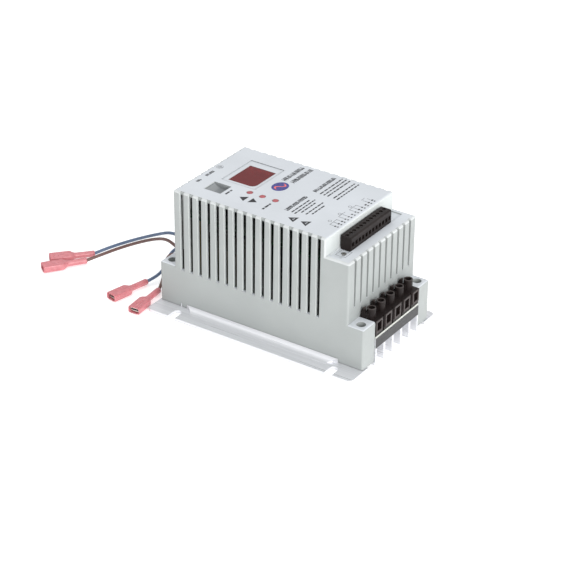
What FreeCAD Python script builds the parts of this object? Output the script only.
import FreeCAD, Part
import math
import os
import Sketcher

# Variable frequency drive lying on its back. Millimetres.
# +X runs along the drive to the power terminals, +Z points out of the front panel,
# and z = 0 is the underside of the heatsink's fins and mounting flanges.

doc = FreeCAD.newDocument("variable_frequency_drive")
sheet = doc.addObject("Spreadsheet::Sheet", "Sizes")

DRIVING_SIZES = [
    # heatsink
    ("overall_length", 146.0),
    ("flange_span", 100.0),
    ("flange_thick", 2.0),
    ("flange_corner_radius", 3.0),
    ("slot_spacing_x", 112.0),
    ("slot_spacing_y", 88.0),
    ("slot_radius", 2.7),
    ("slot_middle_x", 1.4),
    ("slot_spotface_radius", 7.5),
    ("far_tab_x", 63.0),
    ("far_tab_y", 44.5),
    ("plate_low", 10.9),
    ("plate_high", 17.1),
    ("plate_half_width", 34.1),
    ("leg_thick", 2.4),
    ("fin_thick", 2.0),
    ("fin_pitch", 9.4),
    ("fin_count", 6),
    ("cove_low_x", -57.0),
    ("cove_high_x", 57.0),
    ("cove_width", 5.3),
    ("cove_high", 4.6),
    ("cove_radius", 7.12),
    ("cove_edge", 0.15),
    ("tapped_radius", 1.55),
    # housing
    ("skirt_length", 144.6),
    ("case_width", 73.0),
    ("skirt_low", 2.2),
    ("post_high", 28.6),
    ("case_length", 123.0),
    ("case_high", 79.4),
    ("step_x", 45.5),
    ("step_high", 68.2),
    ("wall", 2.2),
    ("skirt_wall", 1.5),
    ("edge_radius", 1.2),
    ("post_inner_y", 24.0),
    ("line_opening_low_y", -20.0),
    ("line_opening_high_y", 8.3),
    ("vent_depth", 2.8),
    ("notch_depth", 1.5),
    ("vent_width", 3.2),
    ("vent_width_low", 2.6),
    ("vent_low", 27.2),
    ("end_vent_width", 2.1),
    ("end_vent_width_low", 1.4),
    ("end_vent_low", 37.7),
    ("side_vent_pitch", 6.41),
    ("side_vent_first_x", -55.5),
    ("side_vents", 16),
    ("end_vent_pitch", 6.59),
    ("end_vents", 10),
    ("post_screw_x", 67.0),
    ("post_screw_y", 30.9),
    ("post_bore_radius", 2.8),
    ("post_bore_floor", 20.0),
    ("post_hole_radius", 1.7),
    # front panel
    ("panel_low_x", -46.5),
    ("panel_high_x", -22.5),
    ("panel_low_y", -8.5),
    ("panel_high_y", 22.5),
    ("panel_depth", 0.5),
    ("panel_bevel", 45),
    ("window_low_x", -43.5),
    ("window_high_x", -25.0),
    ("window_low_y", -5.7),
    ("window_high_y", 17.0),
    ("window_corner_radius", 3.5),
    ("module_x", -41.9),
    ("module_y", -19.0),
    ("module_length", 11.8),
    ("module_width", 10.8),
    ("button_radius", 1.8),
    ("button_proud", 0.15),
    ("button_y", -13.3),
    ("up_button_x", -22.7),
    ("down_button_x", -13.7),
    ("mode_button_x", -4.5),
    # screw terminals
    ("terminal_pitch", 10.16),
    ("terminal_back", 61.8),
    ("terminal_face", 72.6),
    ("terminal_low", 18.7),
    ("terminal_high", 28.8),
    ("frame_proud", 0.4),
    ("frame_half_width", 3.4),
    ("frame_half_height", 4.1),
    ("entry_middle", 24.7),
    ("entry_half_height", 2.9),
    ("power_entry_half_width", 2.3),
    ("line_entry_half_width", 2.7),
    ("block_end_margin", 1.6),
    ("tower_x", 67.2),
    ("tower_radius", 2.7),
    ("tower_high", 35.0),
    ("tower_bore_radius", 1.95),
    ("barrier_high", 35.7),
    ("barrier_low", 32.2),
    ("barrier_thick", 1.2),
    ("barrier_step_x", 64.9),
    ("screw_radius", 1.45),
    ("cage_travel", 1.75),
    ("line_middle_y", -5.84),
    # control terminals
    ("control_low_x", 46.4),
    ("control_high_x", 53.5),
    ("control_low_y", -21.9),
    ("control_high_y", 21.1),
    ("control_high", 76.2),
    ("control_ways", 12),
    # boards
    ("power_board_low", 17.4),
    ("power_board_high", 18.6),
    ("control_board_low", 62.4),
    ("control_board_high", 64.0),
    ("standoff_x", 48.0),
    ("standoff_y", 29.5),
    # leads
    ("lead_radius", 1.0),
    ("sleeve_barrel_radius", 2.3),
]


class Size:
    """A length that knows its value and the spreadsheet expression behind it."""

    def __init__(self, value, text):
        self.value = float(value)
        self.text = text

    def join(self, other, sign, value):
        return Size(value, "(%s %s %s)" % (self.text, sign, size(other).text))

    def __add__(self, other):
        return self.join(other, "+", self.value + size(other).value)

    def __radd__(self, other):
        return size(other) + self

    def __sub__(self, other):
        return self.join(other, "-", self.value - size(other).value)

    def __rsub__(self, other):
        return size(other) - self

    def __mul__(self, other):
        return self.join(other, "*", self.value * size(other).value)

    def __rmul__(self, other):
        return size(other) * self

    def __truediv__(self, other):
        return self.join(other, "/", self.value / size(other).value)

    def __neg__(self):
        return Size(-self.value, "(0 - %s)" % self.text)


def size(number):
    if isinstance(number, Size):
        return number
    return Size(number, "(%.6g)" % number)


class Sizes:
    """Every driving size by its alias, as a Size."""


dim = Sizes()
for row, (alias, number) in enumerate(DRIVING_SIZES, start=1):
    sheet.set("A%d" % row, alias)
    sheet.set("B%d" % row, "%g" % number)
    sheet.setAlias("B%d" % row, alias)
    setattr(dim, alias, Size(number, "Sizes.%s" % alias))
doc.recompute()

CLEAR = 0.1
BEYOND = 1
half_length = dim.overall_length / 2
half_case = dim.case_length / 2
half_skirt = dim.skirt_length / 2
half_width = dim.case_width / 2
half_flange = dim.flange_span / 2


def bind(thing, **texts):
    """Bind properties to sizes: a double underscore in a name stands for a dot."""
    for name, length in texts.items():
        thing.setExpression(name.replace("__", "."), size(length).text)


def place(thing, x, y, z):
    bind(thing, Placement__Base__x=x, Placement__Base__y=y, Placement__Base__z=z)


# ---------------------------------------------------------------- primitives


def box(name, x, y, z):
    """A block from its lowest and highest corner in each direction."""
    thing = doc.addObject("Part::Box", name)
    bind(thing, Length=size(x[1]) - x[0], Width=size(y[1]) - y[0], Height=size(z[1]) - z[0])
    place(thing, x[0], y[0], z[0])
    return thing


def cylinder(name, x, y, z, radius):
    """An upright cylinder about x, y between two heights."""
    thing = doc.addObject("Part::Cylinder", name)
    bind(thing, Radius=radius, Height=size(z[1]) - z[0])
    place(thing, x, y, z[0])
    return thing


def rod(name, x, y, z, radius):
    """A cylinder along X between two places."""
    thing = doc.addObject("Part::Cylinder", name)
    bind(thing, Radius=radius, Height=size(x[1]) - x[0])
    along_x = FreeCAD.Rotation(FreeCAD.Vector(0, 1, 0), 90)
    thing.Placement = FreeCAD.Placement(FreeCAD.Vector(), along_x)
    place(thing, x[0], y, z)
    return thing


def fuse(name, things):
    thing = doc.addObject("Part::MultiFuse", name)
    thing.Shapes = things
    thing.Refine = True
    return thing


def cut(name, base, tool):
    thing = doc.addObject("Part::Cut", name)
    thing.Base = base
    thing.Tool = tool
    return thing


def group(name, things):
    """Identical pieces kept as separate solids under one name."""
    thing = doc.addObject("Part::Compound", name)
    thing.Links = things
    return thing


def rounded(name, base, radius, chosen):
    """Round the edges of a primitive that pass the test."""
    doc.recompute()
    thing = doc.addObject("Part::Fillet", name)
    thing.Base = base
    edges = enumerate(base.Shape.Edges, start=1)
    thing.Edges = [(number, radius, radius) for number, edge in edges if chosen(edge)]
    return thing


# ---------------------------------------------------------------- bodies


def origin_part(body, role):
    for feature in body.Origin.OriginFeatures:
        if feature.Role == role:
            return feature
    raise ValueError(role)


def new_body(name):
    return doc.addObject("PartDesign::Body", name)


def outline(body, name, points, height=0.0, plane="XY_Plane"):
    """A closed outline of straight lines, each corner held by two sizes."""
    sketch = body.newObject("Sketcher::SketchObject", name)
    sketch.AttachmentSupport = (origin_part(body, plane), [""])
    sketch.MapMode = "FlatFace"
    sketch.setExpression("AttachmentOffset.Base.z", size(height).text)
    corners = [(size(u), size(v)) for u, v in points]
    spots = [FreeCAD.Vector(u.value, v.value, 0) for u, v in corners]
    count = len(spots)
    for index in range(count):
        sketch.addGeometry(Part.LineSegment(spots[index], spots[(index + 1) % count]), False)
    for index in range(count):
        sketch.addConstraint(Sketcher.Constraint("Coincident", index, 2, (index + 1) % count, 1))
    for index, (u, v) in enumerate(corners):
        across = sketch.addConstraint(Sketcher.Constraint("DistanceX", -1, 1, index, 1, u.value))
        sketch.setExpression("Constraints[%d]" % across, u.text)
        along = sketch.addConstraint(Sketcher.Constraint("DistanceY", -1, 1, index, 1, v.value))
        sketch.setExpression("Constraints[%d]" % along, v.text)
    return sketch


def circle(body, name, centre, radius, height=0.0, plane="XY_Plane"):
    """A circle held by its centre and its radius."""
    sketch = body.newObject("Sketcher::SketchObject", name)
    sketch.AttachmentSupport = (origin_part(body, plane), [""])
    sketch.MapMode = "FlatFace"
    sketch.setExpression("AttachmentOffset.Base.z", size(height).text)
    x, y, r = size(centre[0]), size(centre[1]), size(radius)
    middle = FreeCAD.Vector(x.value, y.value, 0)
    sketch.addGeometry(Part.Circle(middle, FreeCAD.Vector(0, 0, 1), r.value), False)
    held = [("DistanceX", x), ("DistanceY", y)]
    for kind, length in held:
        number = sketch.addConstraint(Sketcher.Constraint(kind, -1, 1, 0, 3, length.value))
        sketch.setExpression("Constraints[%d]" % number, length.text)
    number = sketch.addConstraint(Sketcher.Constraint("Radius", 0, r.value))
    sketch.setExpression("Constraints[%d]" % number, r.text)
    return sketch


def ordered(one, other):
    """Two sizes as a span, the lower one first."""
    return tuple(sorted((size(one), size(other)), key=lambda length: length.value))


def corners_of(x, y):
    return [(x[0], y[0]), (x[1], y[0]), (x[1], y[1]), (x[0], y[1])]


def pad(body, name, sketch, length):
    """Add material from the sketch along its plane's normal."""
    feature = body.newObject("PartDesign::Pad", name)
    feature.Profile = sketch
    bind(feature, Length=length)
    doc.recompute()
    return feature


def pocket(body, name, sketch, length, taper=0.0):
    """Cut from the sketch against its plane's normal, and make sure that it cut."""
    doc.recompute()
    before = body.Shape.Volume
    feature = body.newObject("PartDesign::Pocket", name)
    feature.Profile = sketch
    bind(feature, Length=length)
    feature.TaperAngle = taper
    doc.recompute()
    if body.Shape.Volume > before - 1e-6:
        raise RuntimeError("%s cuts nothing" % name)
    return feature


def add_block(body, name, x, y, z):
    return pad(body, name, outline(body, name + "_outline", corners_of(x, y), z[0]), size(z[1]) - z[0])


def cut_block(body, name, x, y, z):
    return pocket(body, name, outline(body, name + "_outline", corners_of(x, y), z[1]), size(z[1]) - z[0])


def cut_hole(body, name, centre, radius, z):
    return pocket(body, name, circle(body, name + "_outline", centre, radius, z[1]), size(z[1]) - z[0])


def row(body, name, features, axis, pitch, count):
    """Repeat features along an origin axis."""
    feature = body.newObject("PartDesign::LinearPattern", name)
    feature.Originals = features
    feature.Direction = (origin_part(body, axis), [""])
    feature.Length = size(pitch).value * (size(count).value - 1)
    feature.setExpression("Length", (size(pitch) * (size(count) - 1)).text)
    feature.Occurrences = int(size(count).value)
    feature.setExpression("Occurrences", size(count).text)
    body.Tip = feature
    doc.recompute()
    return feature


def mirror(body, name, features, plane):
    feature = body.newObject("PartDesign::Mirrored", name)
    feature.Originals = features
    feature.MirrorPlane = (origin_part(body, plane), [""])
    body.Tip = feature
    doc.recompute()
    return feature


def fillet(body, name, radius, chosen):
    """Round the body's edges that pass the test."""
    doc.recompute()
    base = body.Tip
    edges = enumerate(base.Shape.Edges, start=1)
    names = ["Edge%d" % number for number, edge in edges if chosen(edge)]
    if not names:
        raise RuntimeError("%s finds no edge" % name)
    feature = body.newObject("PartDesign::Fillet", name)
    feature.Base = (base, names)
    bind(feature, Radius=radius)
    doc.recompute()
    return feature


def is_upright(edge):
    ends = edge.Vertexes
    if len(ends) != 2 or edge.Curve.TypeId != "Part::GeomLine":
        return False
    across = math.hypot(ends[0].X - ends[1].X, ends[0].Y - ends[1].Y)
    return across < 1e-6


def is_level(edge, height):
    return all(abs(end.Z - size(height).value) < 1e-6 for end in edge.Vertexes)


def is_at(edge, x=None, y=None):
    middle = edge.CenterOfMass
    near_x = x is None or abs(abs(middle.x) - size(x).value) < 0.01
    near_y = y is None or abs(abs(middle.y) - size(y).value) < 0.01
    return near_x and near_y


# ---------------------------------------------------------------- heatsink

CASE_GAP = 0.2
CORNERS = [("line_near", -1, -1), ("power_near", 1, -1), ("power_far", 1, 1), ("line_far", -1, 1)]

def make_heatsink():
    """An extrusion: base plate, fins, two legs and two coved flanges, then milled ends and slots."""
    body = new_body("heatsink_base")
    ends = (-half_length, half_length)
    plate_width = (-dim.plate_half_width, dim.plate_half_width)
    add_block(body, "plate", ends, plate_width, (dim.plate_low, dim.plate_high))
    leg_y = (dim.plate_half_width - dim.leg_thick, dim.plate_half_width)
    leg = add_block(body, "leg", ends, leg_y, (0, dim.plate_low + CLEAR))
    flange = add_block(body, "flange", ends, (leg_y[0], half_flange), (0, dim.flange_thick))
    cove_x = (dim.cove_low_x, dim.cove_high_x)
    cove_y = (half_width + CASE_GAP, half_width + CASE_GAP + dim.cove_width)
    cove = add_block(body, "cove", cove_x, cove_y, (dim.flange_thick - CLEAR, dim.cove_high))
    hollow_at = (cove_y[1], dim.flange_thick + dim.cove_edge + dim.cove_radius)
    hollow = circle(body, "hollow_outline", hollow_at, dim.cove_radius, dim.cove_high_x + BEYOND, "YZ_Plane")
    hollow_cut = pocket(body, "hollow", hollow, dim.cove_high_x - dim.cove_low_x + BEYOND * 2)
    mirror(body, "other_side", [leg, flange, cove, hollow_cut], "XZ_Plane")
    first_fin = dim.fin_pitch * (1 - dim.fin_count) / 2
    fin_y = (first_fin - dim.fin_thick / 2, first_fin + dim.fin_thick / 2)
    fin = add_block(body, "fin", ends, fin_y, (0, dim.plate_low + CLEAR))
    row(body, "fins", [fin], "Y_Axis", dim.fin_pitch, dim.fin_count)

    through = (-BEYOND, dim.flange_thick + BEYOND)
    tab_x = (dim.far_tab_x, half_length + BEYOND)
    cut_block(body, "far_tab", tab_x, (dim.far_tab_y, half_flange + BEYOND), through)

    def tab_corner(edge):
        places = ((half_length, half_flange), (half_length, dim.far_tab_y), (dim.far_tab_x, half_flange))
        return is_upright(edge) and any(is_at(edge, x, y) for x, y in places)

    fillet(body, "flange_corners", dim.flange_corner_radius, tab_corner)
    for end, side_x, side_y in CORNERS:
        # the end is milled back beside the opening so that the housing's post can cover it
        notch_x = ordered(side_x * (half_skirt - dim.skirt_wall - CASE_GAP), side_x * (half_length + BEYOND))
        notch_y = ordered(side_y * (dim.post_inner_y - CASE_GAP), side_y * (dim.plate_half_width + BEYOND))
        cut_block(body, end + "_notch", notch_x, notch_y, (dim.flange_thick, dim.plate_high + BEYOND))
        slot_x = dim.slot_middle_x + side_x * dim.slot_spacing_x / 2
        slot_y = side_y * dim.slot_spacing_y / 2
        above_flange = (dim.flange_thick, dim.cove_high + BEYOND)
        cut_hole(body, end + "_spotface", (slot_x, slot_y), dim.slot_spotface_radius, above_flange)
        cut_hole(body, end + "_slot_round", (slot_x, slot_y), dim.slot_radius, through)
        mouth_x = (slot_x - dim.slot_radius, slot_x + dim.slot_radius)
        mouth_y = ordered(slot_y, side_y * (half_flange + BEYOND))
        cut_block(body, end + "_slot_mouth", mouth_x, mouth_y, through)
        tapped_at = (side_x * dim.post_screw_x, side_y * dim.post_screw_y)
        tapped_z = (dim.plate_low + BEYOND, dim.plate_high + BEYOND)
        cut_hole(body, end + "_tapped_hole", tapped_at, dim.tapped_radius, tapped_z)
    return body


# ---------------------------------------------------------------- housing

SKIM = 0.01
MODULE_GAP = 0.15
BUTTON_GAP = 0.2
CHANNEL_DEPTH = 0.8
CHANNEL_HALF_Y = 33.2
STEP_SCREW_AT = (51.9, -27.2)
STEP_SCREW_RADIUS = 0.8

def cut_vent(body, name, plane, outward, middle, roof, form):
    """The first vent of a row: a slot that narrows downwards, and a shallower notch in the roof's edge."""
    reach = half_width if plane == "XZ_Plane" else half_case
    top, bottom = form["top_width"] / 2, form["bottom_width"] / 2
    ceiling = roof - dim.wall
    slot_points = [(middle - bottom, form["low"]), (middle + bottom, form["low"]),
                   (middle + top, ceiling), (middle - top, ceiling)]
    notch_points = corners_of((middle - top, middle + top), (ceiling, roof + BEYOND))
    features = []
    cuts = (("slot", slot_points, dim.vent_depth), ("notch", notch_points, dim.notch_depth))
    for kind, points, deep in cuts:
        start = reach + BEYOND if outward else deep - reach
        sketch = outline(body, "%s_%s_outline" % (name, kind), points, start, plane)
        features.append(pocket(body, "%s_%s" % (name, kind), sketch, deep + BEYOND))
    return features


def make_housing():
    """The one-piece moulded housing: vented case, skirt, four posts and a terminal step."""
    body = new_body("housing_cover")
    whole_y = (-half_width, half_width)
    add_block(body, "skirt", (-half_skirt, half_skirt), whole_y, (dim.skirt_low, dim.post_high))
    add_block(body, "case", (-half_case, half_case), whole_y, (dim.post_high - CLEAR, dim.case_high))
    step_x = (dim.step_x, half_case + BEYOND)
    wide_y = (-half_width - BEYOND, half_width + BEYOND)
    cut_block(body, "step", step_x, wide_y, (dim.step_high, dim.case_high + BEYOND))

    def outer_edge(edge):
        corner = is_upright(edge) and is_at(edge, y=half_width)
        rim = is_level(edge, dim.case_high) or (is_level(edge, dim.step_high) and not is_at(edge, dim.step_x))
        posts = is_level(edge, dim.post_high) and not is_at(edge, half_case)
        return corner or rim or posts

    fillet(body, "outer_edges", dim.edge_radius, outer_edge)

    inner_y = (-half_width + dim.wall, half_width - dim.wall)
    below = dim.skirt_low - BEYOND
    roof = dim.case_high - dim.wall
    cavity_x = (-half_case + dim.wall, dim.step_x - dim.wall)
    cut_block(body, "cavity", cavity_x, inner_y, (below, roof))
    step_cavity_x = (dim.step_x - dim.wall - CLEAR, half_case - dim.wall)
    cut_block(body, "step_cavity", step_cavity_x, inner_y, (below, dim.step_high - dim.wall))
    plate_x = (-half_skirt + dim.skirt_wall, half_skirt - dim.skirt_wall)
    cut_block(body, "plate_room", plate_x, inner_y, (below, dim.plate_high + CASE_GAP))
    line_plate_x = (-half_skirt - BEYOND, plate_x[0] + BEYOND)
    line_plate_y = (-dim.post_inner_y, dim.post_inner_y)
    cut_block(body, "line_plate_way", line_plate_x, line_plate_y, (below, dim.plate_high + CASE_GAP))

    # open bays for the two rows of screw terminals, with a way through the end walls
    power_bay_y = (-dim.post_inner_y, dim.post_inner_y)
    cut_block(body, "power_bay", (half_case, half_skirt + BEYOND), power_bay_y, (below, dim.post_high + 2))
    power_way_x = (half_case - dim.wall - BEYOND, half_case + BEYOND)
    cut_block(body, "power_way", power_way_x, power_bay_y, (below, dim.terminal_high + CASE_GAP))
    line_bay_y = (dim.line_opening_low_y, dim.line_opening_high_y)
    cut_block(body, "line_bay", (-half_skirt - BEYOND, -half_case), line_bay_y, (below, dim.post_high + 2))
    line_way_x = (-half_case - BEYOND, -half_case + dim.wall + BEYOND)
    cut_block(body, "line_way", line_way_x, line_bay_y, (below, dim.terminal_high + CASE_GAP))
    core_y = (dim.line_opening_high_y + dim.wall, dim.post_inner_y - dim.wall)
    core_x = (-half_skirt + dim.wall, -half_case + dim.wall + BEYOND)
    cut_block(body, "far_post_core", core_x, core_y, (below, dim.post_high - dim.wall))

    # vents: a row down each long side, and one across each end
    form = {"top_width": dim.vent_width, "bottom_width": dim.vent_width_low, "low": dim.vent_low}
    for name, outward in (("near_vent", True), ("far_vent", False)):
        vent = cut_vent(body, name, "XZ_Plane", outward, dim.side_vent_first_x, dim.case_high, form)
        row(body, name + "s", vent, "X_Axis", dim.side_vent_pitch, dim.side_vents)
    form = {"top_width": dim.end_vent_width, "bottom_width": dim.end_vent_width_low, "low": dim.end_vent_low}
    first_y = dim.end_vent_pitch * (1 - dim.end_vents) / 2
    for name, outward, top in (("power_vent", True, dim.step_high), ("line_vent", False, dim.case_high)):
        vent = cut_vent(body, name, "YZ_Plane", outward, first_y, top, form)
        row(body, name + "s", vent, "Y_Axis", dim.end_vent_pitch, dim.end_vents)

    # front panel
    above = dim.case_high + BEYOND
    panel_top = dim.case_high + SKIM
    panel_x = (dim.panel_low_x, dim.panel_high_x)
    panel_y = (dim.panel_low_y, dim.panel_high_y)
    panel = outline(body, "panel_outline", corners_of(panel_x, panel_y), panel_top)
    pocket(body, "panel", panel, dim.panel_depth + SKIM, dim.panel_bevel.value)
    window_x = (dim.window_low_x - CLEAR, dim.window_high_x + CLEAR)
    window_y = (dim.window_low_y - CLEAR, dim.window_high_y + CLEAR)
    cut_block(body, "window_opening", window_x, window_y, (roof - BEYOND, dim.case_high))
    fillet(
        body,
        "window_opening_corner",
        dim.window_corner_radius + CLEAR,
        lambda edge: is_upright(edge)
        and abs(edge.CenterOfMass.x - window_x[1].value) < 0.01
        and abs(edge.CenterOfMass.y - window_y[0].value) < 0.01,
    )
    module_half_x = dim.module_length / 2 + MODULE_GAP
    module_half_y = dim.module_width / 2 + MODULE_GAP
    module_x = (dim.module_x - module_half_x, dim.module_x + module_half_x)
    module_y = (dim.module_y - module_half_y, dim.module_y + module_half_y)
    cut_block(body, "module_opening", module_x, module_y, (roof - BEYOND, above))
    for label in ("up", "down", "mode"):
        button_x = getattr(dim, label + "_button_x")
        hole_at = (button_x, dim.button_y)
        cut_hole(body, label + "_hole", hole_at, dim.button_radius + BUTTON_GAP, (roof - BEYOND, above))

    # terminal step: a shallow channel, the terminal opening and a small screw's hole
    channel_x = (dim.control_low_x - 0.4, dim.control_high_x + 0.2)
    channel_y = (-CHANNEL_HALF_Y, CHANNEL_HALF_Y)
    channel_z = (dim.step_high - CHANNEL_DEPTH, dim.step_high + BEYOND)
    cut_block(body, "channel", channel_x, channel_y, channel_z)
    opening_y = (dim.control_low_y - 0.2, dim.control_high_y + 0.2)
    opening_x = (dim.control_low_x - 0.2, dim.control_high_x + 0.2)
    through_step = (dim.step_high - dim.wall - BEYOND, dim.step_high + BEYOND)
    cut_block(body, "control_opening", opening_x, opening_y, through_step)
    cut_hole(body, "step_screw_hole", STEP_SCREW_AT, STEP_SCREW_RADIUS + CLEAR, through_step)

    # post screws
    for end, side_x, side_y in CORNERS:
        at = (side_x * dim.post_screw_x, side_y * dim.post_screw_y)
        bore_z = (dim.post_bore_floor, dim.post_high + BEYOND)
        cut_hole(body, end + "_post_bore", at, dim.post_bore_radius, bore_z)
        hole_z = (dim.plate_high, dim.post_bore_floor + CLEAR)
        cut_hole(body, end + "_post_hole", at, dim.post_hole_radius, hole_z)
    return body


RECESS_ARM = 0.62
RECESS_SLIM = 0.16
POST_SCREW = {"head_radius": 2.5, "head_high": 2.0, "radius": 1.5, "long": 7.5}
BOARD_SCREW = {"head_radius": 2.3, "head_high": 1.6, "radius": 1.25, "long": 7.0}
STEP_SCREW = {"head_radius": 1.3, "head_high": 0.9, "radius": STEP_SCREW_RADIUS, "long": 1.5}


def make_post_screws():
    """Pan-head screws that hold the housing on the heatsink, one at the foot of each post."""
    screws = []
    for number, (_, side_x, side_y) in enumerate(CORNERS, start=1):
        x, y = side_x * dim.post_screw_x, side_y * dim.post_screw_y
        screws.append(cross_screw("post_screw_%d" % number, x, y, dim.post_bore_floor, POST_SCREW))
    return group("cover_screws", screws)


def cross_screw(name, x, y, seat, form):
    """A cross-recessed screw standing with its head on the height called seat."""
    top = seat + form["head_high"]
    head = cylinder(name + "_head", x, y, (seat, top), form["head_radius"])
    shank = cylinder(name + "_shank", x, y, (seat - form["long"], seat + CLEAR), form["radius"])
    whole = fuse(name + "_whole", [head, shank])
    arm = form["head_radius"] * RECESS_ARM
    slim = form["head_radius"] * RECESS_SLIM
    recess_z = (seat + form["head_high"] / 2, top + BEYOND)
    one = box(name + "_arm_a", (x - arm, x + arm), (y - slim, y + slim), recess_z)
    other = box(name + "_arm_b", (x - slim, x + slim), (y - arm, y + arm), recess_z)
    return cut(name, whole, fuse(name + "_recess", [one, other]))


# ---------------------------------------------------------------- front panel


COLLAR = 1.2
BUTTON_ROUND = 0.35
BUTTON_TRAVEL = 0.5
STEM_RADIUS = 1.0
SWITCH_TOP = 67.8
SWITCH_HALF = 3.0
SWITCH_CASE_HIGH = 3.4
PLUNGER_RADIUS = 1.7


def make_window():
    """A clear red plug that shows in the panel, with a flange that stays under the roof."""
    body = new_body("display_window")
    roof = dim.case_high - dim.wall
    plug_x = (dim.window_low_x, dim.window_high_x)
    plug_y = (dim.window_low_y, dim.window_high_y)
    top = dim.case_high - dim.panel_depth - CLEAR
    add_block(body, "plug", plug_x, plug_y, (roof - BEYOND, top))

    def round_corner(edge):
        at = edge.CenterOfMass
        near = abs(at.x - plug_x[1].value) < 0.01 and abs(at.y - plug_y[0].value) < 0.01
        return is_upright(edge) and near

    fillet(body, "plug_corner", dim.window_corner_radius, round_corner)
    lip_x = (plug_x[0] - COLLAR, plug_x[1] + COLLAR)
    lip_y = (plug_y[0] - COLLAR, plug_y[1] + COLLAR)
    add_block(body, "lip", lip_x, lip_y, (roof - COLLAR, roof - CLEAR))
    return body


def make_button(label):
    """A round cap on a stem, with a collar that keeps it under the roof."""
    x = getattr(dim, label + "_button_x")
    y = dim.button_y
    roof = dim.case_high - dim.wall
    name = label + "_button"
    top = dim.case_high + dim.button_proud
    cap = cylinder(name + "_cap", x, y, (roof - COLLAR / 2, top), dim.button_radius)
    soft = rounded(name + "_soft", cap, BUTTON_ROUND, lambda edge: is_level(edge, top))
    collar = cylinder(name + "_collar", x, y, (roof - COLLAR, roof - CLEAR * 3), dim.button_radius + COLLAR)
    stem_z = (SWITCH_TOP + BUTTON_TRAVEL + CLEAR, roof - COLLAR + CLEAR)
    stem = cylinder(name + "_stem", x, y, stem_z, STEM_RADIUS)
    return fuse(name, [soft, collar, stem])


def make_switches():
    """Tact switches on the control board, one under each button."""
    switches = []
    floor = dim.control_board_high
    y = dim.button_y
    for label in ("up", "down", "mode"):
        x = getattr(dim, label + "_button_x")
        span_x, span_y = (x - SWITCH_HALF, x + SWITCH_HALF), (y - SWITCH_HALF, y + SWITCH_HALF)
        case = box(label + "_switch_case", span_x, span_y, (floor, floor + SWITCH_CASE_HIGH))
        plunger = cylinder(label + "_plunger", x, y, (floor + BEYOND, SWITCH_TOP), PLUNGER_RADIUS)
        switches.append(fuse(label + "_switch", [case, plunger]))
    return group("tact_switches", switches)


MODULE_BOTTOM = 66.0
SCOOP_RADIUS = 9.0
SCOOP_WALL = 0.8
SCOOP_DEEP = 2.7
CONTACT_SLOT = {"half_x": 4.0, "half_y": 1.0, "top": 69.0}
SOCKET_WALL = 1.0
SOCKET_HIGH = 6.0
SOCKET_FLOOR = 1.5
TONGUE = {"half_x": 3.7, "half_y": 0.7, "high": 4.5}


def around(middle, half):
    """A span with its middle and half its length given."""
    return (size(middle) - half, size(middle) + half)


def make_module():
    """The plug-in memory module: a block with a hollowed finger scoop in its top."""
    half_x, half_y = dim.module_length / 2, dim.module_width / 2
    x, y = dim.module_x, dim.module_y
    top = dim.case_high - dim.panel_depth
    block = box("module_block", around(x, half_x), around(y, half_y), (MODULE_BOTTOM, top))
    scoop = doc.addObject("Part::Cylinder", "module_scoop")
    bind(scoop, Radius=SCOOP_RADIUS, Height=(half_y - SCOOP_WALL) * 2)
    lying = FreeCAD.Rotation(FreeCAD.Vector(1, 0, 0), -90)
    scoop.Placement = FreeCAD.Placement(FreeCAD.Vector(), lying)
    place(scoop, x + SCOOP_WALL, y - half_y + SCOOP_WALL, dim.case_high + SCOOP_RADIUS - SCOOP_DEEP)
    hollow = cut("module_hollow", block, scoop)
    slot_z = (MODULE_BOTTOM - BEYOND, CONTACT_SLOT["top"])
    slot_x, slot_y = around(x, CONTACT_SLOT["half_x"]), around(y, CONTACT_SLOT["half_y"])
    return cut("memory_module", hollow, box("module_contact_slot", slot_x, slot_y, slot_z))


def make_module_socket():
    """The socket on the control board that the memory module plugs into."""
    room_x, room_y = dim.module_length / 2 + CASE_GAP, dim.module_width / 2 + CASE_GAP
    x, y = dim.module_x, dim.module_y
    floor = dim.control_board_high
    outer_x, outer_y = around(x, room_x + SOCKET_WALL), around(y, room_y + SOCKET_WALL)
    outer = box("socket_outer", outer_x, outer_y, (floor, floor + SOCKET_HIGH))
    inner_z = (floor + SOCKET_FLOOR, floor + SOCKET_HIGH + BEYOND)
    shell = cut("socket_shell", outer, box("socket_inner", around(x, room_x), around(y, room_y), inner_z))
    tongue_x, tongue_y = around(x, TONGUE["half_x"]), around(y, TONGUE["half_y"])
    tongue = box("socket_tongue", tongue_x, tongue_y, (floor + BEYOND, floor + TONGUE["high"]))
    return fuse("module_socket", [shell, tongue])


DISPLAY_INSET = (1.2, 0.8)
DISPLAY_TOP = 75.2
DISPLAY_ROUND = 0.4


def make_display():
    """A three-digit segment display standing on the control board."""
    x = (dim.window_low_x + DISPLAY_INSET[0], dim.window_high_x - DISPLAY_INSET[0])
    y = (dim.window_low_y + DISPLAY_INSET[1], dim.window_high_y - DISPLAY_INSET[1])
    block = box("display_block", x, y, (dim.control_board_high, DISPLAY_TOP))
    return rounded("display_module", block, DISPLAY_ROUND, lambda edge: is_level(edge, DISPLAY_TOP))


# ---------------------------------------------------------------- screw terminals

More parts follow.
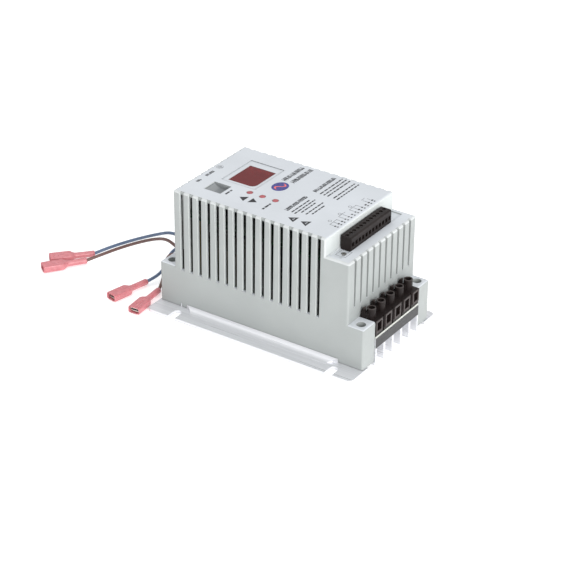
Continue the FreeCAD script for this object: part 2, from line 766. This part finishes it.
CHAMBER = {"x": (64.3, 69.8), "half_y": 3.15, "z": (19.6, 28.2)}
BAR_LOW = 24.7
BAR_HIGH = 25.5
BAR_END = 69.2
BAR_HALF_Y = 2.0
CAGE_X = (64.6, 69.4)
CAGE_HALF_Y = 2.9
CAGE_WALL = 0.6
CAGE_CLOSED = (22.5, 28.1)
CAGE_OPENING_CLOSED = (23.2, 27.3)
THREAD_GAP = 0.07
SHAFT_GAP = 0.15
SCREW_SEAT = 29.4
SCREW_HEAD_HIGH = 2.4
SCREW_SLOT = {"half_x": 3.0, "half_y": 0.35, "low": 1.5}
GROOVE_HALF_Y = 0.7
GROOVE_DEEP = 1.4
BACKED = 0.2


def ways(count, middle):
    """The middles of a row of terminals, from low y to high y."""
    return [size(middle) + (index - (count - 1) / 2) * dim.terminal_pitch for index in range(count)]


def turned(x, end):
    """An X span at the power end, or its mirror image at the line end."""
    return (size(x[0]), size(x[1])) if end > 0 else (-size(x[1]), -size(x[0]))


# A barrier's fin: points past the block's back and above its top, then points back from its step
# and down from its crown.
FIN_CURVE = ((0.2, 2.2), (0.8, 4.4))
FIN_CROWN = ((1.7, 0.6), (0.6, 0.0), (0.0, 0.0))


def make_terminal_block(name, count, middle, end, entry_half_width):
    """A moulded row of screw terminals: entry frames in front, screw towers and barriers on top."""
    body = new_body(name)
    pitch = dim.terminal_pitch
    first = ways(count, middle)[0]
    half_row = pitch * (count / 2) - dim.block_end_margin
    low, high = dim.terminal_low, dim.terminal_high
    block_x = turned((dim.terminal_back, dim.terminal_face), end)
    add_block(body, "block", block_x, around(middle, half_row), (low, high))

    frame_x = turned((dim.terminal_face - BACKED, dim.terminal_face + dim.frame_proud), end)
    frame_z = around(dim.entry_middle, dim.frame_half_height)
    frame = add_block(body, "frame", frame_x, around(first, dim.frame_half_width), frame_z)
    tower_at = (end * dim.tower_x, first)
    tower_sketch = circle(body, "tower_outline", tower_at, dim.tower_radius, high - BACKED)
    tower = pad(body, "tower", tower_sketch, dim.tower_high - high + BACKED)
    # each barrier starts as a fin behind its tower and steps down to a low wall beside it
    fin = [(dim.terminal_back + past, high + above) for past, above in FIN_CURVE]
    crown = [(dim.barrier_step_x - back, dim.barrier_high - down) for back, down in FIN_CROWN]
    wall = [(dim.barrier_step_x, dim.barrier_low), (dim.tower_x, dim.barrier_low)]
    profile = [(dim.terminal_back, high - BACKED)] + fin + crown + wall + [(dim.tower_x, high - BACKED)]
    barrier_points = [(end * x, z) for x, z in profile]
    barrier_y = first - dim.frame_half_width + dim.barrier_thick
    barrier_outline = outline(body, "barrier_outline", barrier_points, -barrier_y, "XZ_Plane")
    barrier = pad(body, "barrier", barrier_outline, dim.barrier_thick)
    row(body, "towers", [frame, tower, barrier], "Y_Axis", pitch, count)

    entry_x = turned((CHAMBER["x"][1] - BACKED, dim.terminal_face + BEYOND), end)
    entry_z = around(dim.entry_middle, dim.entry_half_height)
    entry = cut_block(body, "entry", entry_x, around(first, entry_half_width), entry_z)
    chamber_x = turned(CHAMBER["x"], end)
    chamber = cut_block(body, "chamber", chamber_x, around(first, CHAMBER["half_y"]), CHAMBER["z"])
    slot_x = turned((dim.terminal_back - BEYOND, CHAMBER["x"][0] + BACKED), end)
    slot_y, slot_z = around(first, BAR_HALF_Y + CLEAR), (BAR_LOW - CLEAR, BAR_HIGH + CLEAR)
    bar_slot = cut_block(body, "bar_slot", slot_x, slot_y, slot_z)
    shaft_z = (CHAMBER["z"][0] + BEYOND, high + BEYOND)
    shaft = cut_hole(body, "shaft_hole", tower_at, dim.screw_radius + SHAFT_GAP, shaft_z)
    bore_z = (SCREW_SEAT, dim.tower_high + BEYOND)
    bore = cut_hole(body, "driver_bore", tower_at, dim.tower_bore_radius, bore_z)
    row(body, "openings", [entry, chamber, bar_slot, shaft, bore], "Y_Axis", pitch, count)

    groove_x = turned((dim.terminal_face - GROOVE_DEEP, dim.terminal_face + BEYOND), end)
    groove_y = around(first + pitch / 2, GROOVE_HALF_Y)
    groove = cut_block(body, "groove", groove_x, groove_y, (low - BEYOND, high + BEYOND))
    row(body, "grooves", [groove], "Y_Axis", pitch, count - 1)
    return body


def make_terminal_screw(name, x, y):
    """A captive slotted screw that turns in its tower and draws the cage up."""
    head_z = (SCREW_SEAT + CLEAR / 2, SCREW_SEAT + SCREW_HEAD_HIGH)
    head = cylinder(name + "_head", x, y, head_z, dim.tower_bore_radius - CLEAR)
    shank = cylinder(name + "_shank", x, y, (BAR_LOW + CLEAR / 2, SCREW_SEAT + BEYOND), dim.screw_radius)
    whole = fuse(name + "_whole", [head, shank])
    slot_z = (SCREW_SEAT + SCREW_SLOT["low"], SCREW_SEAT + SCREW_HEAD_HIGH + BEYOND)
    slot = box(name + "_slot", around(x, SCREW_SLOT["half_x"]), around(y, SCREW_SLOT["half_y"]), slot_z)
    return cut(name, whole, slot)


def make_cage(name, y, end, drop):
    """A square clamping cage round the current bar, threaded on the screw above it."""
    low, high = CAGE_CLOSED[0] - drop, CAGE_CLOSED[1] - drop
    outer = box(name + "_outer", turned(CAGE_X, end), around(y, CAGE_HALF_Y), (low, high))
    opening = (CAGE_OPENING_CLOSED[0] - drop, CAGE_OPENING_CLOSED[1] - drop)
    through = turned((CAGE_X[0] - BEYOND, CAGE_X[1] + BEYOND), end)
    inner = box(name + "_inner", through, around(y, CAGE_HALF_Y - CAGE_WALL), opening)
    thread_z = (opening[0] + BEYOND, high + BEYOND)
    thread = cylinder(name + "_thread", end * dim.tower_x, y, thread_z, dim.screw_radius + THREAD_GAP)
    return cut(name, outer, fuse(name + "_room", [inner, thread]))


def make_terminals(prefix, count, middle, end, drop):
    """One row of terminals: the block, its current bars, and a screw and a cage in each way."""
    entry_half_width = getattr(dim, prefix + "_entry_half_width")
    pieces = [make_terminal_block(prefix + "_terminal_block", count, middle, end, entry_half_width)]
    bars = []
    x = end * dim.tower_x
    bar_x = turned((dim.terminal_back, BAR_END), end)
    for number, y in enumerate(ways(count, middle), start=1):
        pieces.append(make_terminal_screw("%s_terminal_screw_%d" % (prefix, number), x, y))
        pieces.append(make_cage("%s_terminal_clamp_%d" % (prefix, number), y, end, drop))
        name = "%s_bar_%d" % (prefix, number)
        bar = box(name, bar_x, around(y, BAR_HALF_Y), (BAR_LOW, BAR_HIGH))
        hole_z = (BAR_LOW - BEYOND, BAR_HIGH + BEYOND)
        hole = cylinder(name + "_hole", x, y, hole_z, dim.screw_radius + CLEAR)
        bars.append(cut(name + "_cut", bar, hole))
    pieces.append(group(prefix + "_terminal_bars", bars))
    return pieces


# ---------------------------------------------------------------- control terminals

CONTROL_EDGE_ROUND = 1.0
CONTROL_HOLE = {"radius": 1.2, "low": 70.0}
CONTROL_ENTRY = {"deep": 2.6, "half_y": 1.2, "z": (70.2, 72.8)}
CONTROL_SCREW = {"radius": 1.1, "z": (71.6, 75.2), "set_back": 0.4}
CONTROL_SCREW_SLOT = {"half_x": 2.0, "half_y": 0.25, "low": 74.5}
CONTROL_CLAMP = {"half": 0.75, "z": (70.1, 71.5)}


def make_control_terminals():
    """The twelve-way control terminal block with its small screws and clamps."""
    body = new_body("control_terminal_block")
    x = (dim.control_low_x, dim.control_high_x)
    y = (dim.control_low_y, dim.control_high_y)
    add_block(body, "block", x, y, (dim.control_board_high, dim.control_high))
    fillet(body, "front_edge", CONTROL_EDGE_ROUND, lambda edge: is_level(edge, dim.control_high)
           and abs(edge.CenterOfMass.x - x[1].value) < 0.01)
    pitch = (y[1] - y[0]) / dim.control_ways
    first = y[0] + pitch / 2
    middle_x = (x[0] + x[1]) / 2 - CONTROL_SCREW["set_back"]
    above = dim.control_high + BEYOND
    hole_z = (CONTROL_HOLE["low"], above)
    screw_hole = cut_hole(body, "screw_hole", (middle_x, first), CONTROL_HOLE["radius"], hole_z)
    entry_x = (x[1] - CONTROL_ENTRY["deep"], x[1] + BEYOND)
    entry = cut_block(body, "entry", entry_x, around(first, CONTROL_ENTRY["half_y"]), CONTROL_ENTRY["z"])
    row(body, "entries", [screw_hole, entry], "Y_Axis", pitch, dim.control_ways)
    screws = []
    clamps = []
    half = CONTROL_CLAMP["half"]
    for index in range(int(dim.control_ways.value)):
        at = first + pitch * index
        name = "control_screw_%d" % (index + 1)
        shank = cylinder(name + "_shank", middle_x, at, CONTROL_SCREW["z"], CONTROL_SCREW["radius"])
        slot_x = around(middle_x, CONTROL_SCREW_SLOT["half_x"])
        slot_y = around(at, CONTROL_SCREW_SLOT["half_y"])
        slot = box(name + "_slot", slot_x, slot_y, (CONTROL_SCREW_SLOT["low"], above))
        screws.append(cut(name, shank, slot))
        clamp_name = "control_clamp_%d" % (index + 1)
        clamps.append(box(clamp_name, around(middle_x, half), around(at, half), CONTROL_CLAMP["z"]))
    return [body, group("control_terminal_screws", screws), group("control_terminal_clamps", clamps)]


def make_step_screw():
    seat = dim.step_high - CHANNEL_DEPTH + CLEAR / 2
    return cross_screw("step_screw", STEP_SCREW_AT[0], STEP_SCREW_AT[1], seat, STEP_SCREW)


# ---------------------------------------------------------------- boards and what stands on them

BOARD_GAP = 0.3
POWER_BOARD_HALF_Y = 33.6
PAD_HALF = (58.0, 30.0)
CONTROL_BOARD = {"x": (-56.0, 57.0), "half_y": 33.0, "hole_radius": 1.6}
STANDOFF = {"radius": 2.75, "hole_radius": 1.3, "hole_deep": 8.0}
HEADER_STRIP = {"x": (20.0, 42.0), "y": (-31.5, -28.5), "high": 4.0}
HEADER_PINS = {"count": 8, "pitch": 2.54, "first_x": 21.9, "y": -30.0, "half": 0.3}
CAPACITORS = {"x": (-34.0, -11.0, 12.0), "y": 17.0, "radius": 10.5, "high": 38.0, "round": 1.2}
CHOKE = {"at": (40.0, 16.0), "ring": 7.5, "wound": 3.4}
BLOCKS = {
    "power_module": {"x": (-12.0, 30.0), "y": (-25.0, 1.0), "high": 8.0, "round": 0.8},
    "transformer": {"x": (-50.0, -26.0), "y": (-22.0, -4.0), "high": 22.0, "round": 1.0},
    "inrush_relay": {"x": (38.0, 52.0), "y": (-22.0, -8.0), "high": 16.0, "round": 0.6},
}


def make_power_board():
    """The lower board, with a tab through each end wall for the screw terminals."""
    z = (dim.power_board_low, dim.power_board_high)
    inside = half_case - dim.wall - BOARD_GAP
    reach = half_length - BOARD_GAP
    middle = box("power_board_middle", (-inside, inside), around(0, POWER_BOARD_HALF_Y), z)
    tab_y = (BOARD_GAP - dim.post_inner_y, dim.post_inner_y - BOARD_GAP)
    tab = box("power_board_tab", (inside - BEYOND, reach), tab_y, z)
    line_y = (dim.line_opening_low_y + BOARD_GAP, dim.line_opening_high_y - BOARD_GAP)
    line_tab = box("power_board_line_tab", (-reach, BEYOND - inside), line_y, z)
    return fuse("power_board", [middle, tab, line_tab])


def make_thermal_pad():
    z = (dim.plate_high, dim.power_board_low)
    return box("thermal_pad", around(0, PAD_HALF[0]), around(0, PAD_HALF[1]), z)


def make_control_board():
    """The upper board, with a hole over each standoff."""
    low, high = dim.control_board_low, dim.control_board_high
    board = box("control_board_blank", CONTROL_BOARD["x"], around(0, CONTROL_BOARD["half_y"]), (low, high))
    holes = []
    for number, (x, y) in enumerate(standoff_places(), start=1):
        hole_z = (low - BEYOND, high + BEYOND)
        holes.append(cylinder("control_board_hole_%d" % number, x, y, hole_z, CONTROL_BOARD["hole_radius"]))
    return cut("control_board", board, fuse("control_board_holes", holes))


def standoff_places():
    return [(side_x * dim.standoff_x, side_y * dim.standoff_y) for _, side_x, side_y in CORNERS]


def make_standoffs():
    """Round pillars between the boards, each with a blind hole for its screw."""
    posts = []
    low, high = dim.power_board_high, dim.control_board_low
    for number, (x, y) in enumerate(standoff_places(), start=1):
        name = "standoff_%d" % number
        post = cylinder(name + "_post", x, y, (low, high), STANDOFF["radius"])
        hole_z = (high - STANDOFF["hole_deep"], high + BEYOND)
        posts.append(cut(name, post, cylinder(name + "_hole", x, y, hole_z, STANDOFF["hole_radius"])))
    return group("board_standoffs", posts)


def make_board_screws():
    screws = [cross_screw("board_screw_%d" % number, x, y, dim.control_board_high, BOARD_SCREW)
              for number, (x, y) in enumerate(standoff_places(), start=1)]
    return group("board_screws", screws)


def make_board_header():
    """A pin strip that carries signals from the power board up to the control board."""
    low = dim.power_board_high
    strip_z = (low, low + HEADER_STRIP["high"])
    solids = [box("header_strip", HEADER_STRIP["x"], HEADER_STRIP["y"], strip_z)]
    pin_y = around(HEADER_PINS["y"], HEADER_PINS["half"])
    for index in range(HEADER_PINS["count"]):
        pin_x = around(HEADER_PINS["first_x"] + HEADER_PINS["pitch"] * index, HEADER_PINS["half"])
        pin_z = (strip_z[1] - BEYOND, dim.control_board_low)
        solids.append(box("header_pin_%d" % index, pin_x, pin_y, pin_z))
    return fuse("board_header", solids)


def make_components():
    """The power board's larger parts."""
    floor = dim.power_board_high
    cans = []
    top = floor + CAPACITORS["high"]
    for number, x in enumerate(CAPACITORS["x"], start=1):
        can = cylinder("capacitor_can_%d" % number, x, CAPACITORS["y"], (floor, top), CAPACITORS["radius"])
        name = "capacitor_%d" % number
        cans.append(rounded(name, can, CAPACITORS["round"], lambda edge: is_level(edge, top)))
    choke = doc.addObject("Part::Torus", "input_choke")
    bind(choke, Radius1=CHOKE["ring"], Radius2=CHOKE["wound"])
    place(choke, CHOKE["at"][0], CHOKE["at"][1], floor + CHOKE["wound"])
    parts = [group("bus_capacitors", cans), choke]
    for name, form in BLOCKS.items():
        block = box(name + "_block", form["x"], form["y"], (floor, floor + form["high"]))
        parts.append(rounded(name, block, form["round"], is_upright))
    return parts


# ---------------------------------------------------------------- leads

# Each route starts at the bared end inside the terminal and runs to its connector's barrel.
LEAD_ROUTES = {
    "brown_lead_long": [
        (-70.6, -14.55, 23.95), (-73.2, -14.55, 23.95), (-77.6, -13.8, 26.9), (-87.5, -10.2, 27.2),
        (-99.0, -7.0, 22.4), (-113.0, -6.8, 15.4), (-125.5, -10.4, 9.0), (-134.6, -17.6, 4.6),
        (-139.8, -25.6, 2.5),
    ],
    "blue_lead_long": [
        (-70.6, -4.39, 23.95), (-73.9, -4.39, 23.95), (-80.2, -3.1, 26.8), (-91.0, -0.8, 26.9),
        (-105.0, 1.3, 19.9), (-120.0, 0.4, 12.4), (-131.5, -3.6, 6.8), (-138.2, -9.6, 3.8),
        (-141.5, -15.5, 2.5),
    ],
    "blue_lead_short": [
        (-70.6, -7.29, 23.95), (-79.0, -7.29, 23.95), (-86.0, -9.4, 17.2), (-86.9, -12.9, 9.0),
        (-88.9, -18.6, 4.2), (-92.3, -25.3, 2.5),
    ],
    "brown_lead_short": [
        (-70.6, -17.45, 23.95), (-77.4, -17.45, 23.95), (-82.6, -17.9, 18.0), (-83.0, -19.2, 10.6),
        (-81.4, -23.2, 5.0), (-79.6, -29.6, 2.5),
    ],
}
# The way each connector points on the floor, from its barrel to its tip.
CONNECTOR_HEADINGS = {
    "brown_lead_long": (-16.2, -22.5),
    "blue_lead_long": (-19.1, -21.5),
    "blue_lead_short": (-6.2, -28.7),
    "brown_lead_short": (2.6, -27.5),
}
ARC_SHARE = 0.45
BARED_END_X = -64.8
BARED_RADIUS = 0.7
# Each sleeve and contact is drawn along X from its barrel's start, then turned to its heading.
SLEEVE_BARREL_X = (0, 11.6)
SLEEVE_MOUTH = {"x": (14.4, 28.4), "half_y": 4.0, "half_z": 2.4, "round": 1.2}
SLEEVE_ROOM_X = (16.0, 29.0)
SLEEVE_WALL = 0.65
NECK_SECTIONS = {"round": (11.0, 2.3, 2.3), "flat": (15.0, 3.9, 2.35)}
CONTACT = {"x": (17.0, 27.0), "half_y": 3.1, "half_z": 1.2, "wall": 0.5, "gap_z": (-0.45, 0.6)}


def make_lead(name, points):
    """A tube of straight runs joined by tangent arcs, each arc as large as its two runs allow."""
    spots = [FreeCAD.Vector(*point) for point in points]
    pieces = []
    radii = []
    start = spots[0]
    for before, corner, after in zip(spots, spots[1:], spots[2:]):
        inward = (before - corner).normalize()
        onward = (after - corner).normalize()
        turn = math.pi - inward.getAngle(onward)
        back = ARC_SHARE * min((before - corner).Length, (after - corner).Length)
        radius = back / math.tan(turn / 2)
        radii.append(radius)
        first = corner + inward * back
        last = corner + onward * back
        bisector = (inward + onward).normalize()
        middle = corner + bisector * (radius / math.cos(turn / 2) - radius)
        pieces.append(Part.LineSegment(start, first).toShape())
        pieces.append(Part.Arc(first, middle, last).toShape())
        start = last
    pieces.append(Part.LineSegment(start, spots[-1]).toShape())
    path = Part.Wire(pieces)
    way = (spots[1] - spots[0]).normalize()
    ring = Part.Wire([Part.makeCircle(dim.lead_radius.value, spots[0], way)])
    tube = path.makePipeShell([ring], True, False)
    expected = math.pi * dim.lead_radius.value ** 2 * path.Length
    print("%s: %.1f mm long, smallest radius %.1f mm, volume %.1f of %.1f"
          % (name, path.Length, min(radii), tube.Volume, expected))
    lead = doc.addObject("Part::Feature", name)
    lead.Shape = tube
    return lead


def make_sleeve(name, end, heading):
    """A moulded nylon sleeve over a push-on receptacle: round barrel, tapered neck, flat open mouth."""
    barrel = rod(name + "_barrel", SLEEVE_BARREL_X, 0, 0, dim.sleeve_barrel_radius)
    half_y, half_z = SLEEVE_MOUTH["half_y"], SLEEVE_MOUTH["half_z"]
    mouth = box(name + "_mouth", SLEEVE_MOUTH["x"], around(0, half_y), around(0, half_z))
    middle_x = sum(SLEEVE_MOUTH["x"]) / 2

    def long_edge(edge):
        return abs(edge.CenterOfMass.x - middle_x) < 0.01

    soft = rounded(name + "_soft", mouth, SLEEVE_MOUTH["round"], long_edge)
    neck = doc.addObject("Part::Loft", name + "_neck")
    neck.Sections = [neck_section(name + "_" + kind, *section) for kind, section in NECK_SECTIONS.items()]
    neck.Solid = True
    neck.Ruled = True
    room_y = around(0, half_y - SLEEVE_WALL)
    room_z = around(0, half_z - SLEEVE_WALL)
    room = box(name + "_room", SLEEVE_ROOM_X, room_y, room_z)
    hollow = cut(name, fuse(name + "_solid", [barrel, neck, soft]), room)
    hollow.Placement = FreeCAD.Placement(FreeCAD.Vector(*end), turn_to(heading))
    return hollow


def neck_section(name, x, half_width_y, half_height):
    """An upright oval across the sleeve."""
    oval = doc.addObject("Part::Ellipse", name)
    oval.MajorRadius = half_width_y
    oval.MinorRadius = half_height
    sideways, upwards, onward = FreeCAD.Vector(0, 1, 0), FreeCAD.Vector(0, 0, 1), FreeCAD.Vector(1, 0, 0)
    oval.Placement = FreeCAD.Placement(onward * x, FreeCAD.Rotation(sideways, upwards, onward, "XYZ"))
    return oval


def turn_to(heading):
    angle = math.degrees(math.atan2(heading[1], heading[0]))
    return FreeCAD.Rotation(FreeCAD.Vector(0, 0, 1), angle)


def make_contact(name, end, heading):
    """The folded metal receptacle inside a sleeve."""
    shell = box(name + "_shell", CONTACT["x"], around(0, CONTACT["half_y"]), around(0, CONTACT["half_z"]))
    room_x = (CONTACT["x"][0] - BEYOND, CONTACT["x"][1] + BEYOND)
    room = box(name + "_gap", room_x, around(0, CONTACT["half_y"] - CONTACT["wall"]), CONTACT["gap_z"])
    contact = cut(name, shell, room)
    contact.Placement = FreeCAD.Placement(FreeCAD.Vector(*end), turn_to(heading))
    return contact


def make_leads():
    """The four leads with their sleeves, contacts and bared ends."""
    leads = []
    sleeves = []
    contacts = []
    bared = []
    for number, (name, route) in enumerate(LEAD_ROUTES.items(), start=1):
        leads.append(make_lead(name, route))
        heading = CONNECTOR_HEADINGS[name]
        sleeves.append(make_sleeve("connector_sleeve_%d" % number, route[-1], heading))
        contacts.append(make_contact("contact_%d" % number, route[-1], heading))
        start = route[0]
        name = "bared_end_%d" % number
        bared.append(rod(name, (start[0], BARED_END_X), start[1], start[2], BARED_RADIUS))
    return leads + sleeves + [group("connector_contacts", contacts), group("bared_wire_ends", bared)]


# ---------------------------------------------------------------- the whole drive

# The power row is open, ready for its wires; the line row is clamped on its leads.
CAGE_DROP = {"power": dim.cage_travel.value, "line": 0.0}

pieces = [make_heatsink(), make_housing(), make_post_screws(), make_window(), make_display()]
pieces += [make_button(label) for label in ("up", "down", "mode")]
pieces += [make_switches(), make_module(), make_module_socket()]
pieces += make_terminals("power", 5, 0.0, 1, CAGE_DROP["power"])
pieces += make_terminals("line", 3, dim.line_middle_y, -1, CAGE_DROP["line"])
pieces += make_control_terminals()
pieces += [make_step_screw(), make_power_board(), make_thermal_pad(), make_control_board()]
pieces += [make_standoffs(), make_board_screws(), make_board_header()]
pieces += make_components()
pieces += make_leads()
for piece in pieces:
    piece.Label = piece.Name
doc.recompute()

for thing in doc.Objects:
    if "Invalid" in thing.State or "Error" in thing.State:
        raise RuntimeError("%s failed: %s" % (thing.Name, thing.State))
for piece in pieces:
    if piece.Shape.isNull() or not piece.Shape.isValid() or not piece.Shape.Solids:
        raise RuntimeError("%s has no valid shape" % piece.Label)

os.makedirs("parts", exist_ok=True)
for piece in pieces:
    piece.Shape.exportStep("parts/%s.step" % piece.Label)
print("%d nodes, %d solids" % (len(pieces), sum(len(piece.Shape.Solids) for piece in pieces)))
